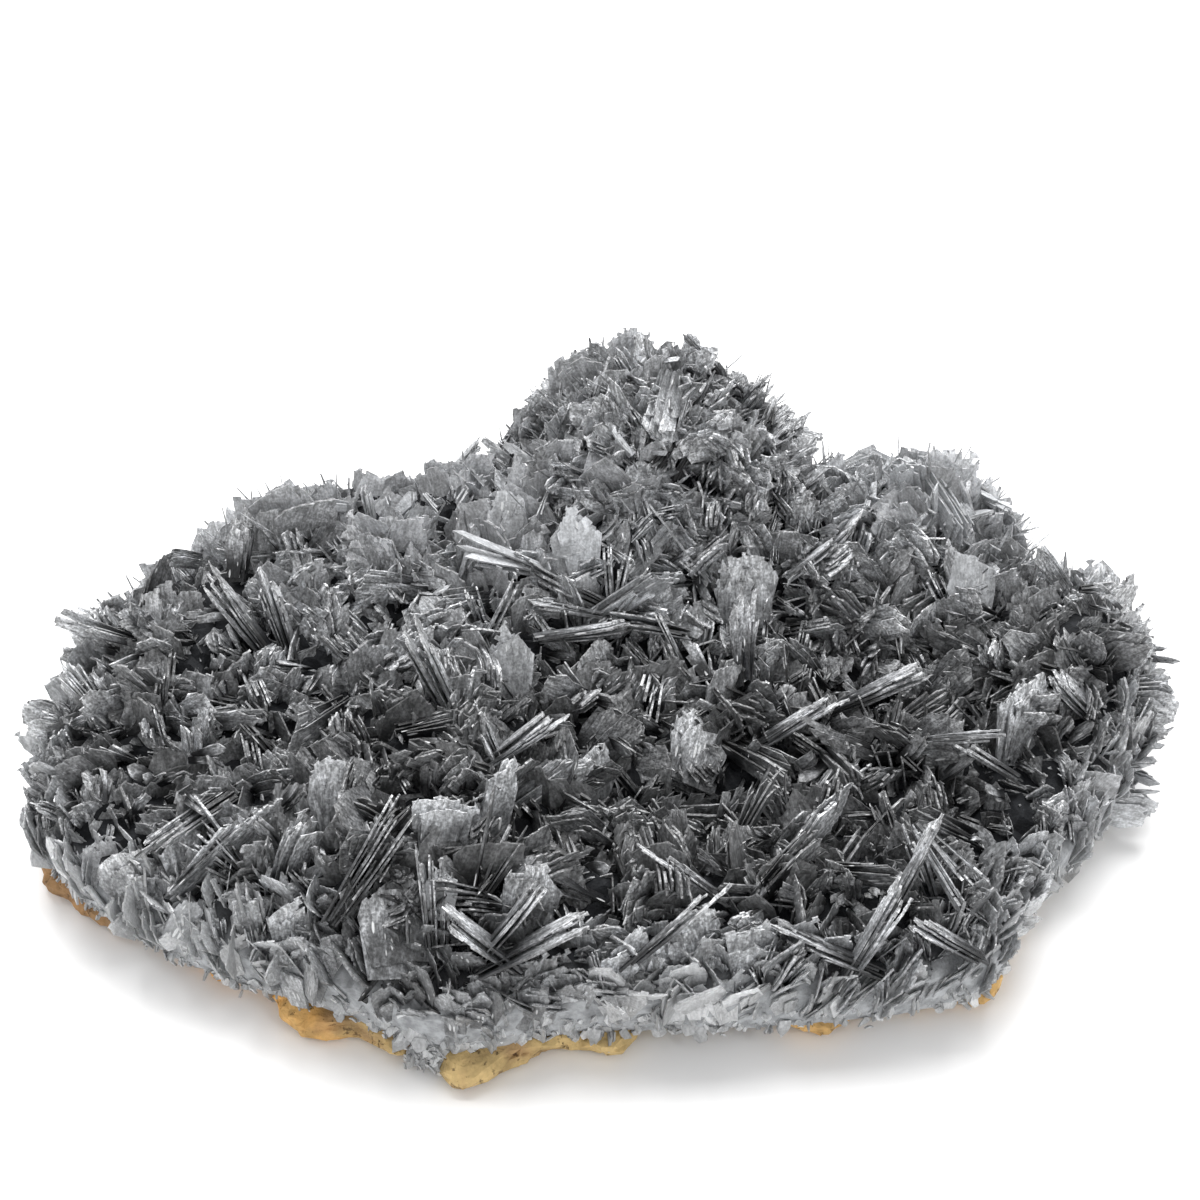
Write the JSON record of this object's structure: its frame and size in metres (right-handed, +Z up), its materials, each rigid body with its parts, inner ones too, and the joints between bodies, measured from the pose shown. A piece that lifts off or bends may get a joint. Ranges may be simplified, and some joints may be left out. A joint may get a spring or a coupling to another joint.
{
  "type": "barite crystal cluster",
  "caption": "Broad mineral specimen: thin grey barite blades in fanned and parallel books on a low crust, grown on a thin ochre rock slab with a flat underside to rest on.",
  "frame": {"origin": "under the middle of the specimen's box, on the surface it rests on", "axes": "+X along the specimen's length, to the right seen from its lower, broken side; +Y from that side to the humped side; +Z up"},
  "size_m": [0.228, 0.1596, 0.0688],
  "materials": {
    "barite": "translucent milky grey crystal, glassy on cleavage faces, lighter at blade edges",
    "ochre_matrix": "dull earthy limonite, orange to tan, pitted"
  },
  "bodies": {
    "root": {"barite_cluster": "barite", "ochre_rock": "ochre_matrix"}
  },
  "joints": []
}
